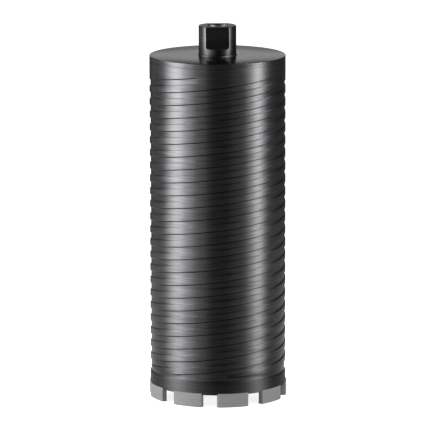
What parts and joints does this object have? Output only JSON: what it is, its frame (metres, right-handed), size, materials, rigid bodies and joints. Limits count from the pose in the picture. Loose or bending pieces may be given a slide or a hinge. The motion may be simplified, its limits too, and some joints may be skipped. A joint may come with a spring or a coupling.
{
  "type": "diamond core bit",
  "caption": "Core bit for a drilling machine: spiral-turned steel barrel closed by an end plate, threaded hub with spanner flats, and a ring of diamond segments.",
  "frame": {"origin": "on the barrel's axis, level with the cutting faces of the segments", "axes": "+Z along the axis from the segments to the hub, -Y towards the front, where a spanner flat faces and a segment lies a little to the right"},
  "size_m": [0.1118, 0.112, 0.304],
  "materials": {
    "black_steel": "turned and coated black, satin",
    "diamond_segment": "ground grey sintered metal"
  },
  "bodies": {
    "root": {"barrel": "black_steel", "end_plate": "black_steel", "hub": "black_steel", "segment_1": "diamond_segment", "segment_2": "diamond_segment", "segment_3": "diamond_segment", "segment_4": "diamond_segment", "segment_5": "diamond_segment", "segment_6": "diamond_segment", "segment_7": "diamond_segment", "segment_8": "diamond_segment", "segment_9": "diamond_segment"}
  },
  "joints": []
}
